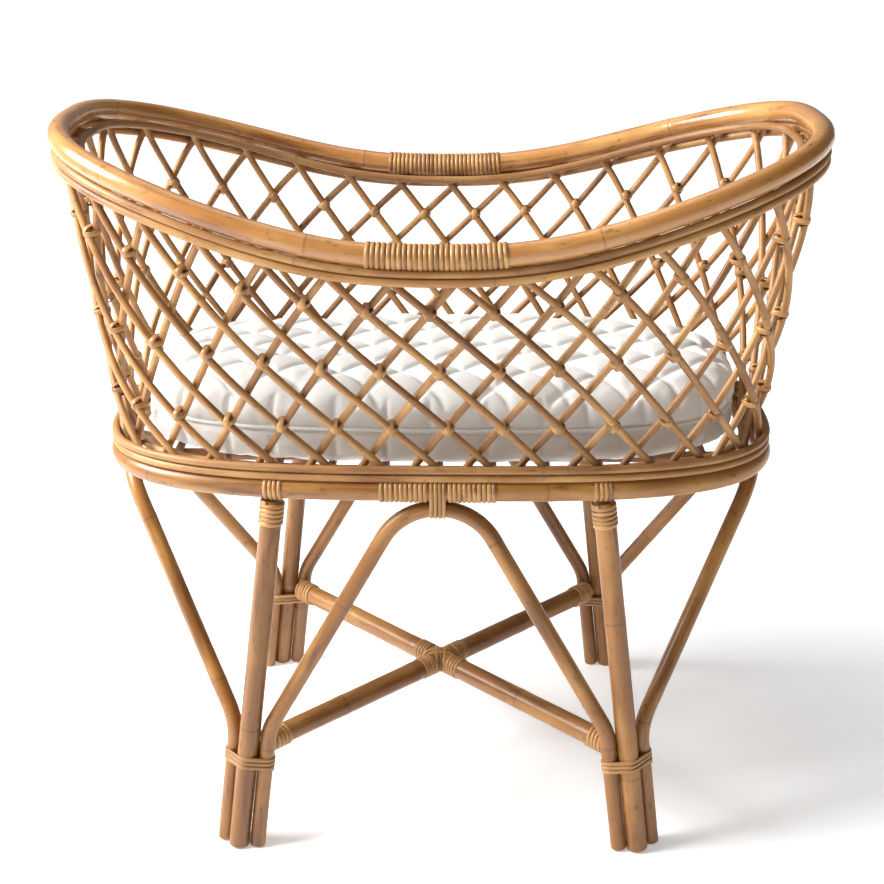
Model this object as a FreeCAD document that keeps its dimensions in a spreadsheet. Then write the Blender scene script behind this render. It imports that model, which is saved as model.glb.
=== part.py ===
import FreeCAD, Part
import math
import os

# Rattan bassinet on a splayed stand. Millimetres, +Z up, +X along the basket,
# -Y towards the front. Origin on the floor, at the middle of the four feet.

V = FreeCAD.Vector
doc = FreeCAD.newDocument("bassinet_on_stand")

DIMENSIONS = (
    # basket rim: a saddle-shaped loop
    ("rim_half_length", 430),
    ("rim_half_width", 250),
    ("rim_squareness", 2.82),
    ("rim_height_middle", 737),
    ("rim_height_ends", 808),
    ("rim_end_lift", 28),
    ("rim_pole_radius", 12.5),
    # ring at the foot of the basket: a flat loop
    ("ring_half_length", 387),
    ("ring_half_width", 200),
    ("ring_squareness", 3.22),
    ("ring_height", 456.6),
    ("ring_pole_radius", 12.5),
    # thin rods and lattice canes
    ("rod_radius", 4.5),
    ("rod_offset_out", 5.5),
    ("rod_drop", 16.4),
    ("rod_pitch", 9.6),
    ("rod_rise", 16.4),
    ("cane_radius", 4.3),
    ("cane_layer_pitch", 9.0),
    ("cane_count", 33),
    ("outer_cane_shift", 3.55),
    ("outer_cane_phase", 0.102),
    ("inner_cane_shift", 2.66),
    ("inner_cane_phase", 0.367),
    ("knot_loop_radius", 10.4),
    ("knot_strand_radius", 1.6),
    # legs
    ("leg_radius", 12.5),
    ("leg_top_reach", 185),
    ("leg_top_spread", 192.7),
    ("leg_foot_reach", 241.4),
    ("leg_foot_spread", 228),
    # arches
    ("arch_radius", 9.5),
    ("ankle_height", 155),
    ("ankle_bend_radius", 70),
    ("arch_bend_radius", 72),
    ("arch_corner_height", 508),
    ("arch_corner_spread", 194.5),
    ("end_arch_bend_radius", 87.6),
    ("end_arch_corner_height", 541),
    ("end_arch_corner_reach", 440.6),
    ("end_arch_outward", 18),
    ("end_arch_inward", 14),
    # crossed stretcher
    ("cross_radius", 13),
    ("cross_height", 130),
    ("cross_half_length", 286.2),
    ("cross_angle", 44.6),
    # bindings of flat cane
    ("strip_thickness", 1.3),
    ("rim_binding_half", 74),
    ("ring_binding_half", 67),
    ("leg_tie_half", 10.5),
    ("leg_wrap_length", 26),
    ("arch_tie_half", 9),
    ("foot_binding_height", 101),
    ("foot_binding_width", 24),
    ("cross_wrap_length", 26),
    # bed
    ("slat_radius", 5),
    ("slat_pitch", 62),
    ("slat_height", 461.4),
    ("bearer_radius", 7),
    ("bearer_spread", 75),
    ("mattress_length", 722),
    ("mattress_width", 330),
    ("mattress_thickness", 85),
    ("mattress_corner", 148),
    ("mattress_edge", 30),
    ("mattress_bottom", 466.8),
    ("piping_radius", 2.5),
    # tools that cut and trim
    ("floor_slab_size", 1200),
    ("floor_slab_depth", 60),
)

sheet = doc.addObject("Spreadsheet::Sheet", "Sheet")
for row, (alias, value) in enumerate(DIMENSIONS, start=1):
    sheet.set("A%d" % row, alias)
    sheet.set("B%d" % row, str(value))
    sheet.setAlias("B%d" % row, alias)
doc.recompute()

NODES = []


def dim(alias):
    """One driving dimension, read from the sheet."""
    return float(sheet.get(alias))


def node(label, shape):
    """A named piece whose shape is built in code from the sheet."""
    piece = doc.addObject("Part::Feature", label)
    piece.Label = label
    piece.Shape = shape
    piece.Placement = FreeCAD.Placement()
    NODES.append(piece)
    return piece


# ---------------------------------------------------------------- loops in plan

LOOP_STEPS = 2880


def plan_loop(half_length, half_width, squareness):
    """Points of a rounded-oblong loop, from the front middle, anticlockwise from above."""
    points = []
    for step in range(LOOP_STEPS):
        angle = 2 * math.pi * step / LOOP_STEPS - math.pi / 2
        c = math.cos(angle)
        s = math.sin(angle)
        x = half_length * math.copysign(abs(c) ** (2 / squareness), c)
        y = half_width * math.copysign(abs(s) ** (2 / squareness), s)
        points.append((x, y))
    lengths = [0.0]
    for a, b in zip(points, points[1:] + points[:1]):
        lengths.append(lengths[-1] + math.dist(a, b))
    return points + points[:1], lengths


def along(loop, share):
    """Point of a loop at a share (0 to 1) of its length, counted from the front middle."""
    points, lengths = loop
    target = (share % 1.0) * lengths[-1]
    low = 0
    high = len(lengths) - 1
    while high - low > 1:
        middle = (low + high) // 2
        if lengths[middle] <= target:
            low = middle
        else:
            high = middle
    part = (target - lengths[low]) / (lengths[high] - lengths[low])
    (x0, y0), (x1, y1) = points[low], points[high]
    return x0 + (x1 - x0) * part, y0 + (y1 - y0) * part


def rim_height(x):
    """Height of the rim's centre line: low in the middle, high at both ends."""
    reach = min(abs(x) / dim("rim_half_length"), 1.0)
    wave = ((1 - math.cos(math.pi * reach)) / 2) ** 1.25
    rise = (dim("rim_height_ends") - dim("rim_height_middle")) * wave
    return dim("rim_height_middle") + rise + dim("rim_end_lift") * reach ** 6


def rim_point(share, outward=0.0, drop=0.0):
    """Point of the rim's centre line, moved outwards and down."""
    pole_x = along(loop_of("rim", 0.0), share)[0]
    x, y = along(loop_of("rim", outward), share)
    return V(x, y, rim_height(pole_x) - drop)


def ring_point(share, outward=0.0, rise=0.0):
    """Point of the ring's centre line, moved outwards and up."""
    x, y = along(loop_of("ring", outward), share)
    return V(x, y, dim("ring_height") + rise)


LOOPS = {}


def loop_of(name, outward):
    """The rim's or the ring's loop, grown outwards; worked out once for each size."""
    if (name, outward) not in LOOPS:
        LOOPS[name, outward] = plan_loop(dim(name + "_half_length") + outward,
                                         dim(name + "_half_width") + outward,
                                         dim(name + "_squareness"))
    return LOOPS[name, outward]


# ---------------------------------------------------------------- sweeps

WINDING_GAP = 0.03


STRAIGHT_TURN = math.radians(0.2)
SETBACK = 0.45
BULGE = 0.24


def bent(corners, radii):
    """Wire through the corners with each inner corner rounded to its radius."""
    edges = []
    start = corners[0]
    for i, radius in enumerate(radii, start=1):
        before = (corners[i - 1] - corners[i]).normalize()
        after = (corners[i + 1] - corners[i]).normalize()
        half = before.getAngle(after) / 2
        setback = radius / math.tan(half)
        middle = (before + after).normalize() * (radius / math.sin(half) - radius)
        first = corners[i] + before * setback
        last = corners[i] + after * setback
        edges.append(Part.makeLine(start, first))
        edges.append(Part.Arc(first, corners[i] + middle, last).toShape())
        start = last
    edges.append(Part.makeLine(start, corners[-1]))
    return Part.Wire(edges)


def curve(points):
    """Short straight runs joined by tangent arcs, following a smooth line of points.

    An arc passes inside its corner, so each corner is first moved out to make up for it.
    """
    moved = [points[0]]
    for before, point, after in zip(points, points[1:], points[2:]):
        moved.append(point + (point - (before + after) / 2) * BULGE)
    moved.append(points[-1])
    corners = [moved[0]]
    for point, after in zip(moved[1:], moved[2:]):
        if (point - corners[-1]).getAngle(after - point) > STRAIGHT_TURN:
            corners.append(point)
    corners.append(moved[-1])
    radii = []
    for before, corner, after in zip(corners, corners[1:], corners[2:]):
        half_turn = (corner - before).getAngle(after - corner) / 2
        shorter = min((corner - before).Length, (after - corner).Length)
        radii.append(SETBACK * shorter / math.tan(half_turn))
    return bent(corners, radii)


def rod(path, radius):
    """Round rod swept along a wire."""
    start = path.Edges[0].valueAt(path.Edges[0].FirstParameter)
    tangent = path.Edges[0].tangentAt(path.Edges[0].FirstParameter)
    profile = Part.Wire([Part.makeCircle(radius, start, tangent)])
    return path.makePipeShell([profile], True, False)


def run(point, first, last, steps, **offsets):
    """Wire along the rim or the ring between two shares of its length."""
    return curve([point(first + (last - first) * i / steps, **offsets) for i in range(steps + 1)])


def sleeve(path, inner, thickness):
    """Wound strip as a thin tube on a pole."""
    return rod(path, inner + thickness).cut(rod(path, inner + WINDING_GAP))


def tube(start, axis, length, inner, thickness):
    """The same on a straight pole."""
    outer = Part.makeCylinder(inner + thickness, length, start, axis)
    return outer.cut(Part.makeCylinder(inner + WINDING_GAP, length, start, axis))


# ---------------------------------------------------------------- rim, ring and thin rods

JOINT_GAP = 0.0001
STRIP = dim("strip_thickness")

for side, first, last in (("right", 0.0, 0.5), ("left", 0.5, 1.0)):
    ends = (first + JOINT_GAP, last - JOINT_GAP)
    node("rim_pole_" + side, rod(run(rim_point, ends[0], ends[1], 40), dim("rim_pole_radius")))
    node("ring_pole_" + side, rod(run(ring_point, ends[0], ends[1], 40), dim("ring_pole_radius")))

LAYER = dim("cane_layer_pitch")
OUTER_LAYER = dim("rod_offset_out") - dim("rod_radius") - dim("cane_radius") - 0.2
INNER_LAYER = OUTER_LAYER - LAYER
INNER_ROD = INNER_LAYER - dim("cane_radius") - dim("rod_radius") - 0.2
ROD_SPAN = (0.5 + 2 * JOINT_GAP, 1.5 - 2 * JOINT_GAP)


def thin_rod(label, point, **offsets):
    """Thin rod all the way round, its two ends meeting at the back."""
    node(label, rod(run(point, ROD_SPAN[0], ROD_SPAN[1], 80, **offsets), dim("rod_radius")))


DROP = dim("rod_drop")
RISE = dim("rod_rise")
PITCH = dim("rod_pitch")
thin_rod("rim_rod_upper", rim_point, outward=dim("rod_offset_out"), drop=DROP)
thin_rod("rim_rod_lower", rim_point, outward=dim("rod_offset_out"), drop=DROP + PITCH)
thin_rod("rim_rod_inner", rim_point, outward=INNER_ROD, drop=DROP)
thin_rod("ring_rod_lower", ring_point, outward=dim("rod_offset_out"), rise=RISE)
thin_rod("ring_rod_upper", ring_point, outward=dim("rod_offset_out"), rise=RISE + PITCH)
thin_rod("ring_rod_inner", ring_point, outward=INNER_ROD, rise=RISE)

# ---------------------------------------------------------------- lattice

LATTICE_FOOT = RISE + PITCH + dim("rod_radius")
LATTICE_HEAD = DROP + PITCH + dim("rod_radius")
CANE_FOOT = dim("ring_pole_radius") + 3.2
CANE_HEAD = dim("rim_pole_radius") + 4.0
UPRIGHT_PAST_RODS = 6.0
CANES = int(dim("cane_count"))
CANE_STEPS = 12


def lattice_point(share, level, outward):
    """Point of the basket wall: level 0 at the ring rods, 1 at the rim rods.

    The wall leans out between the two sets of rods, and is upright along each of them.
    """
    foot = ring_point(share, outward=outward)
    head = rim_point(share, outward=outward)
    low = dim("ring_height") + LATTICE_FOOT
    straight = dim("rim_height_middle") - LATTICE_HEAD - low
    extra = head.z - dim("rim_height_middle")
    z = low + straight * level + extra * level * abs(level)
    lean_from = low + UPRIGHT_PAST_RODS
    lean_to = head.z - LATTICE_HEAD - UPRIGHT_PAST_RODS
    part = min(max((z - lean_from) / (lean_to - lean_from), 0.0), 1.0)
    return V(foot.x + (head.x - foot.x) * part, foot.y + (head.y - foot.y) * part, z)


def cane_share(number, phase, shift, level):
    """Where along the loops a slanting cane is at a level."""
    return (number + phase + shift * level) / CANES


def top_level(number, phase, shift, outward):
    """Level at which a climbing cane ends, tucked under the rim pole."""
    low, high = 0.8, 1.4
    for _ in range(30):
        middle = (low + high) / 2
        share = cane_share(number, phase, shift, middle)
        top = rim_point(share, outward=outward).z - CANE_HEAD
        if lattice_point(share, middle, outward).z < top:
            low = middle
        else:
            high = middle
    return low


def canes(phase, shift, outward):
    """One layer of slanting canes."""
    wall = dim("rim_height_middle") - LATTICE_HEAD - dim("ring_height") - LATTICE_FOOT
    first = (CANE_FOOT - LATTICE_FOOT) / wall
    solids = []
    for number in range(CANES):
        last = top_level(number, phase, shift, outward)
        points = []
        for step in range(CANE_STEPS + 1):
            level = first + (last - first) * step / CANE_STEPS
            share = cane_share(number, phase, shift, level)
            points.append(lattice_point(share, level, outward))
        solids.append(rod(curve(points), dim("cane_radius")))
    return Part.makeCompound(solids)


OUT_SHIFT = dim("outer_cane_shift")
IN_SHIFT = dim("inner_cane_shift")
OUT_PHASE = -dim("outer_cane_phase")
IN_PHASE = -dim("inner_cane_phase")
node("canes_outer", canes(OUT_PHASE, -OUT_SHIFT, OUTER_LAYER))
node("canes_inner", canes(IN_PHASE, IN_SHIFT, INNER_LAYER))


def knots(crossing):
    """One row of lashed crossings: an upright loop of cane pulled over both canes at each."""
    level = (crossing + OUT_PHASE - IN_PHASE) / (OUT_SHIFT + IN_SHIFT)
    solids = []
    for number in range(CANES):
        share = cane_share(number, OUT_PHASE, -OUT_SHIFT, level)
        outward = (OUTER_LAYER + INNER_LAYER) / 2
        centre = lattice_point(share, level, outward)
        sideways = lattice_point(share + 0.001, level, outward) - centre
        loop = Part.makeTorus(dim("knot_loop_radius"), dim("knot_strand_radius"), centre, sideways)
        solids.append(loop)
    return Part.makeCompound(solids)


node("knots_low", knots(1))
node("knots_middle", knots(3))
node("knots_high", knots(5))

# ---------------------------------------------------------------- legs

CORNERS = (("front_left", -1, -1), ("front_right", 1, -1), ("rear_left", -1, 1), ("rear_right", 1, 1))
FLOOR_DEPTH = 30


def leg_point(sx, sy, z, outward=0.0, inward=0.0):
    """Point on a main leg's axis, or beside it."""
    part = z / dim("ring_height")
    reach = dim("leg_foot_reach") + (dim("leg_top_reach") - dim("leg_foot_reach")) * part
    spread = dim("leg_foot_spread") + (dim("leg_top_spread") - dim("leg_foot_spread")) * part
    return V(sx * (reach + outward), sy * (spread - inward), z)


floor = doc.addObject("Part::Box", "floor_slab")
floor.setExpression("Length", "Sheet.floor_slab_size")
floor.setExpression("Width", "Sheet.floor_slab_size")
floor.setExpression("Height", "Sheet.floor_slab_depth")
floor.setExpression("Placement.Base.x", "-Sheet.floor_slab_size / 2")
floor.setExpression("Placement.Base.y", "-Sheet.floor_slab_size / 2")
floor.setExpression("Placement.Base.z", "-Sheet.floor_slab_depth")
doc.recompute()

LEG_TOP = dim("ring_height") - dim("ring_pole_radius") - STRIP - 2.0
for corner, sx, sy in CORNERS:
    bottom = leg_point(sx, sy, -FLOOR_DEPTH)
    top = leg_point(sx, sy, LEG_TOP)
    stock = doc.addObject("Part::Cylinder", "stock_" + corner)
    stock.setExpression("Radius", "Sheet.leg_radius")
    stock.Height = (top - bottom).Length
    stock.Placement = FreeCAD.Placement(bottom, FreeCAD.Rotation(V(0, 0, 1), top - bottom))
    leg = doc.addObject("Part::Cut", "leg_" + corner)
    leg.Base = stock
    leg.Tool = floor
    leg.Label = "leg_" + corner
    NODES.append(leg)

# ---------------------------------------------------------------- arches

BESIDE = dim("leg_radius") + dim("arch_radius") + 0.3
ANKLE = dim("ankle_height")
ANKLE_BEND = dim("ankle_bend_radius")


def arch(label, ends, corner, bend, outward, inward):
    """Bent pole from foot to foot, over the top under the ring."""
    feet = [leg_point(sx, sy, -FLOOR_DEPTH, outward, inward) for sx, sy in ends]
    ankles = [leg_point(sx, sy, ANKLE, outward, inward) for sx, sy in ends]
    path = bent([feet[0], ankles[0], corner, ankles[1], feet[1]], (ANKLE_BEND, bend, ANKLE_BEND))
    node(label, rod(path, dim("arch_radius")).cut(floor.Shape))


for name, sy in (("front", -1), ("rear", 1)):
    top = V(0, sy * dim("arch_corner_spread"), dim("arch_corner_height"))
    arch("arch_" + name, ((-1, sy), (1, sy)), top, dim("arch_bend_radius"), -BESIDE, 0.0)

for name, sx in (("left", -1), ("right", 1)):
    top = V(sx * dim("end_arch_corner_reach"), 0, dim("end_arch_corner_height"))
    arch("arch_" + name, ((sx, -1), (sx, 1)), top, dim("end_arch_bend_radius"),
         dim("end_arch_outward"), dim("end_arch_inward"))

# ---------------------------------------------------------------- crossed stretcher

for label, turn, keep in (("cross_pole_rising", 1, 0), ("cross_pole_falling", -1, -1)):
    pole = doc.addObject("Part::Cylinder", "stock_" + label)
    pole.setExpression("Radius", "Sheet.cross_radius")
    pole.setExpression("Height", "Sheet.cross_half_length * 2")
    angle = math.radians(turn * dim("cross_angle"))
    axis = V(math.cos(angle), math.sin(angle), 0)
    base = V(0, 0, dim("cross_height")) - axis * dim("cross_half_length")
    pole.Placement = FreeCAD.Placement(base, FreeCAD.Rotation(V(0, 0, 1), axis))
    lap = doc.addObject("Part::Box", "lap_" + label)
    lap.setExpression("Length", "Sheet.cross_radius * 2 + 0.2")
    lap.setExpression("Width", "Sheet.cross_radius * 4")
    lap.setExpression("Height", "Sheet.cross_radius * 2")
    across = FreeCAD.Rotation(V(0, 0, 1), -turn * dim("cross_angle"))
    corner = V(-dim("cross_radius") - 0.1, -2 * dim("cross_radius"), 2 * keep * dim("cross_radius"))
    lap.Placement = FreeCAD.Placement(V(0, 0, dim("cross_height")) + across.multVec(corner), across)
    lapped = doc.addObject("Part::Cut", label)
    lapped.Base = pole
    lapped.Tool = lap
    lapped.Label = label
    NODES.append(lapped)

# ---------------------------------------------------------------- bindings


def belt(circles, grow):
    """Outline of a strap pulled tight round circles given anticlockwise: (x, y, radius)."""
    edges = []
    count = len(circles)
    touches = []
    for i in range(count):
        x0, y0, r0 = circles[i]
        x1, y1, r1 = circles[(i + 1) % count]
        gap = math.hypot(x1 - x0, y1 - y0)
        angle = math.atan2(y1 - y0, x1 - x0) - math.acos((r0 - r1) / gap)
        nx = math.cos(angle)
        ny = math.sin(angle)
        touches.append((V(x0 + nx * (r0 + grow), y0 + ny * (r0 + grow), 0),
                        V(x1 + nx * (r1 + grow), y1 + ny * (r1 + grow), 0), angle))
    for i in range(count):
        leave, land, angle = touches[i]
        edges.append(Part.makeLine(leave, land))
        x, y, radius = circles[(i + 1) % count]
        start, following = land, touches[(i + 1) % count]
        sweep = (following[2] - angle) % (2 * math.pi)
        middle = angle + sweep / 2
        over = V(x + math.cos(middle) * (radius + grow), y + math.sin(middle) * (radius + grow), 0)
        edges.append(Part.Arc(start, over, following[0]).toShape())
    return Part.Face(Part.Wire(edges))


def strap(circles, width, placement):
    """Strap of bound turns round parallel poles, seen along them."""
    band = belt(circles, STRIP).cut(belt(circles, WINDING_GAP)).extrude(V(0, 0, width))
    band.Placement = placement.multiply(band.Placement)
    return band


def share_at(point, x):
    """Share of the rim's or the ring's length at which its front reaches x."""
    low, high = -0.25, 0.25
    for _ in range(40):
        middle = (low + high) / 2
        if point(middle).x < x:
            low = middle
        else:
            high = middle
    return low


# turns on the rim part where the upper thin rod lies against the pole
ROD_ROOM = 0.9
half = share_at(rim_point, dim("rim_binding_half"))
for name, centre in (("front", 0.0), ("rear", 0.5)):
    path = run(rim_point, centre - half, centre + half, 8)
    rod_path = run(rim_point, centre - 1.3 * half, centre + 1.3 * half, 9,
                   outward=dim("rod_offset_out"), drop=DROP)
    rod_room = rod(rod_path, dim("rod_radius") + ROD_ROOM)
    node("rim_binding_" + name, sleeve(path, dim("rim_pole_radius"), STRIP).cut(rod_room))


# turns on the ring stop short of its top, where the lattice stands
OPEN_ABOVE = dim("ring_height") + 7
SIZE = dim("floor_slab_size")
lattice_room = Part.makeBox(SIZE, SIZE, SIZE, V(-SIZE / 2, -SIZE / 2, OPEN_ABOVE))


def ring_sleeve(middle, half_share):
    """Turns round the ring pole, open at the top."""
    path = run(ring_point, middle - half_share, middle + half_share, 6)
    return sleeve(path, dim("ring_pole_radius"), STRIP).cut(lattice_room)


TIE_GAP = 2.0
half = share_at(ring_point, dim("ring_binding_half"))
inner_half = share_at(ring_point, dim("arch_tie_half") + TIE_GAP)
for name, centre in (("front", 0.0), ("rear", 0.5)):
    middle = (half + inner_half) / 2
    width = (half - inner_half) / 2
    turns = [ring_sleeve(centre + side * middle, width) for side in (-1, 1)]
    node("ring_binding_" + name, Part.makeCompound(turns))

half = share_at(ring_point, dim("leg_tie_half"))
at = share_at(ring_point, dim("leg_top_reach"))
ties = [ring_sleeve(centre, half) for centre in (-at, at, 0.5 - at, 0.5 + at)]
node("leg_ties", Part.makeCompound(ties))

wraps = []
WRAP_TOP = LEG_TOP - 4
for corner, sx, sy in CORNERS:
    low = leg_point(sx, sy, WRAP_TOP - dim("leg_wrap_length"))
    axis = leg_point(sx, sy, WRAP_TOP) - low
    wraps.append(tube(low, axis, axis.Length, dim("leg_radius"), STRIP))
node("leg_wraps", Part.makeCompound(wraps))


def apex(corner, feet, bend):
    """Top of an arch: the middle of its bend."""
    one, other = [(foot - corner).normalize() for foot in feet]
    half_angle = one.getAngle(other) / 2
    return corner + (one + other).normalize() * (bend / math.sin(half_angle) - bend)


arch_ties = []
for sx, sy in ((0, -1), (0, 1), (-1, 0), (1, 0)):
    if sy:
        corner = V(0, sy * dim("arch_corner_spread"), dim("arch_corner_height"))
        foot = leg_point(1, sy, ANKLE, -BESIDE)
        mirror = V(-foot.x, foot.y, foot.z)
        bend = dim("arch_bend_radius")
        ring = V(0, sy * dim("ring_half_width"), dim("ring_height"))
    else:
        corner = V(sx * dim("end_arch_corner_reach"), 0, dim("end_arch_corner_height"))
        foot = leg_point(sx, 1, ANKLE, dim("end_arch_outward"), dim("end_arch_inward"))
        mirror = V(foot.x, -foot.y, foot.z)
        bend = dim("end_arch_bend_radius")
        ring = V(sx * dim("ring_half_length"), 0, dim("ring_height"))
    top = apex(corner, (foot, mirror), bend)
    along_ring = V(sy, -sx, 0)
    outward = V(sx, sy, 0)
    width = 2 * dim("arch_tie_half")
    start = V(ring.x, ring.y, 0) - along_ring * (width / 2)
    placement = FreeCAD.Placement(start, FreeCAD.Rotation(outward, V(0, 0, 1), along_ring, "ZXY"))
    across = (top - ring).dot(outward)
    circles = ((0, ring.z, dim("ring_pole_radius")), (across, top.z, dim("arch_radius")))
    arch_ties.append(strap(circles, width, placement).cut(lattice_room))
node("arch_ties", Part.makeCompound(arch_ties))

foot_bindings = []
for corner, sx, sy in CORNERS:
    low = leg_point(sx, sy, dim("foot_binding_height"))
    axis = (leg_point(sx, sy, dim("ring_height")) - low).normalize()
    side = V(1, 0, 0) - axis * axis.x
    side.normalize()
    placement = FreeCAD.Placement(low, FreeCAD.Rotation(side, V(0, 0, 0), axis, "ZXY"))
    inverse = placement.inverse()
    circles = [(0, 0, dim("leg_radius"))]
    for outward, inward in ((-BESIDE, 0.0), (dim("end_arch_outward"), dim("end_arch_inward"))):
        local = inverse.multVec(leg_point(sx, sy, low.z, outward, inward))
        circles.append((local.x, local.y, dim("arch_radius")))
    centre_x = sum(c[0] for c in circles) / 3
    centre_y = sum(c[1] for c in circles) / 3
    circles.sort(key=lambda c: math.atan2(c[1] - centre_y, c[0] - centre_x))
    foot_bindings.append(strap(circles, dim("foot_binding_width"), placement))
node("foot_bindings", Part.makeCompound(foot_bindings))

cross_wraps = []
lashed, poles = [], []
crossing = V(0, 0, dim("cross_height"))
LASHING_REACH = 2.2 * dim("cross_radius")
for turn in (1, -1):
    angle = math.radians(turn * dim("cross_angle"))
    axis = V(math.cos(angle), math.sin(angle), 0)
    for way in (-1, 1):
        end = crossing + axis * (way * (dim("cross_half_length") - 1))
        turns = tube(end, axis * -way, dim("cross_wrap_length"), dim("cross_radius"), STRIP)
        cross_wraps.append(turns)
    start = crossing - axis * LASHING_REACH
    radius = dim("cross_radius")
    lashed.append(Part.makeCylinder(radius + STRIP, 2 * LASHING_REACH, start, axis))
    length = 2 * dim("cross_half_length")
    start = crossing - axis * (length / 2)
    poles.append(Part.makeCylinder(radius + WINDING_GAP, length, start, axis))
node("cross_wraps", Part.makeCompound(cross_wraps))
node("cross_lashing", lashed[0].fuse(lashed[1]).cut(poles[0]).cut(poles[1]))

# ---------------------------------------------------------------- bed


def inside_half_width(x, outward):
    """Half width of the ring's loop at x."""
    length = dim("ring_half_length") + outward
    width = dim("ring_half_width") + outward
    power = dim("ring_squareness")
    return width * (1 - (abs(x) / length) ** power) ** (1 / power)


slats = []
INNER_FACE = -dim("ring_pole_radius") - STRIP - 0.3
SLATS_EACH_SIDE = 5
for number in range(-SLATS_EACH_SIDE, SLATS_EACH_SIDE + 1):
    x = number * dim("slat_pitch")
    far = abs(x) + dim("slat_radius")
    half = inside_half_width(far, INNER_FACE)
    start = V(x, -half, dim("slat_height"))
    slats.append(Part.makeCylinder(dim("slat_radius"), 2 * half, start, V(0, 1, 0)))
node("bed_slats", Part.makeCompound(slats))

bearers = []
for sy in (-1, 1):
    y = sy * dim("bearer_spread")
    reach = dim("ring_half_length") + INNER_FACE
    share = (abs(y) + dim("bearer_radius")) / (dim("ring_half_width") + INNER_FACE)
    power = dim("ring_squareness")
    half = reach * (1 - share ** power) ** (1 / power)
    z = dim("slat_height") - dim("slat_radius") - dim("bearer_radius") - 0.1
    bearers.append(Part.makeCylinder(dim("bearer_radius"), 2 * half, V(-half, y, z), V(1, 0, 0)))
node("bed_bearers", Part.makeCompound(bearers))

# ---------------------------------------------------------------- mattress


def rounded_plan(half_length, half_width, corner):
    """Outline of a rounded rectangle as lines and arcs."""
    inner_x = half_length - corner
    inner_y = half_width - corner
    bows = []
    for quarter, (sx, sy) in enumerate(((1, 1), (-1, 1), (-1, -1), (1, -1))):
        circle = Part.Circle(V(sx * inner_x, sy * inner_y, 0), V(0, 0, 1), corner)
        start = math.radians(90 * quarter)
        bows.append(Part.ArcOfCircle(circle, start, start + math.pi / 2))
    outline = []
    for bow, following in zip(bows, bows[1:] + bows[:1]):
        outline.append(bow)
        outline.append(Part.LineSegment(bow.EndPoint, following.StartPoint))
    return outline


body = doc.addObject("PartDesign::Body", "mattress")
body.Label = "mattress"
sketch = body.newObject("Sketcher::SketchObject", "mattress_plan")
sketch.Geometry = rounded_plan(dim("mattress_length") / 2, dim("mattress_width") / 2,
                               dim("mattress_corner"))
sketch.setExpression("Placement.Base.z", "Sheet.mattress_bottom")
pad = body.newObject("PartDesign::Pad", "mattress_pad")
pad.Profile = sketch
pad.setExpression("Length", "Sheet.mattress_thickness")
doc.recompute()
rounding = body.newObject("PartDesign::Fillet", "mattress_rounding")
level_faces = []
for number, face in enumerate(pad.Shape.Faces, start=1):
    if abs(face.normalAt(0, 0).z) > 0.99:
        level_faces.append("Face%d" % number)
rounding.Base = (pad, level_faces)
rounding.setExpression("Radius", "Sheet.mattress_edge")
NODES.append(body)

seam = dim("piping_radius") + 0.1
outline = rounded_plan(dim("mattress_length") / 2 + seam, dim("mattress_width") / 2 + seam,
                       dim("mattress_corner") + seam)
loop = Part.Wire([piece.toShape() for piece in outline])
loop.translate(V(0, 0, dim("mattress_bottom") + dim("mattress_thickness") / 2))
node("mattress_piping", rod(loop, dim("piping_radius")))

# ---------------------------------------------------------------- check and write out

doc.recompute()
os.makedirs("parts", exist_ok=True)
for piece in doc.Objects:
    if "Invalid" in piece.State or "Error" in piece.State:
        raise RuntimeError("%s: %s" % (piece.Name, piece.State))
for piece in NODES:
    if piece.Shape.isNull() or not piece.Shape.isValid():
        raise RuntimeError(piece.Label + " has no valid shape")
    piece.Shape.exportStep("parts/%s.step" % piece.Label)
    print(piece.Label, len(piece.Shape.Solids), round(piece.Shape.Volume / 1000, 1))
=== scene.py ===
# %% [markdown]
# # A rattan bassinet on its stand
# A basket of crossed canes hangs between two thick bent poles, a saddle-shaped rim above and a flat
# ring below, and the ring sits on a splayed stand. Everything is bent pole, thin cane or wound strip,
# so this lesson is mostly about one skill: turning a line in space into a believable pole.
# The imported model is loaded first. Its boxes give many of the sizes that follow.

# %% Load the frame
import math
import random

import bpy
import numpy as np
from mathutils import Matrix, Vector


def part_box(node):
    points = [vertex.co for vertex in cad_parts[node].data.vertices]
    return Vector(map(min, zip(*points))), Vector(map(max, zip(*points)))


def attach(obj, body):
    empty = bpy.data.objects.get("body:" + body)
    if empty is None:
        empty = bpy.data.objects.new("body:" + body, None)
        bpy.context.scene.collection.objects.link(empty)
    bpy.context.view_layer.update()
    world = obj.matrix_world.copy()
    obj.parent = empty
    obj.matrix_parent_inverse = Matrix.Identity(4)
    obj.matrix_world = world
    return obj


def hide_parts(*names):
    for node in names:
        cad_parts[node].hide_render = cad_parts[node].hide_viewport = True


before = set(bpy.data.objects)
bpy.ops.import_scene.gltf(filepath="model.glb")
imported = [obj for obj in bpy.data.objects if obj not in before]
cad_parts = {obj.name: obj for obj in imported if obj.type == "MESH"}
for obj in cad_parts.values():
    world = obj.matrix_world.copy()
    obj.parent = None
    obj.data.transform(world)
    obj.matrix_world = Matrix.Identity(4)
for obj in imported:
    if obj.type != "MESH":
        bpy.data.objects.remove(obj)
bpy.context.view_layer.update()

# %% [markdown]
# ## The two ovals
# The rim and the ring are rounded oblongs. One formula makes both: an ellipse whose sides are pushed
# out by a squareness above 2. Distances along an oval are measured once, so that canes and turns of
# strip can be spaced evenly. Share 0 is the front middle, and shares grow anticlockwise from above.

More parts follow.
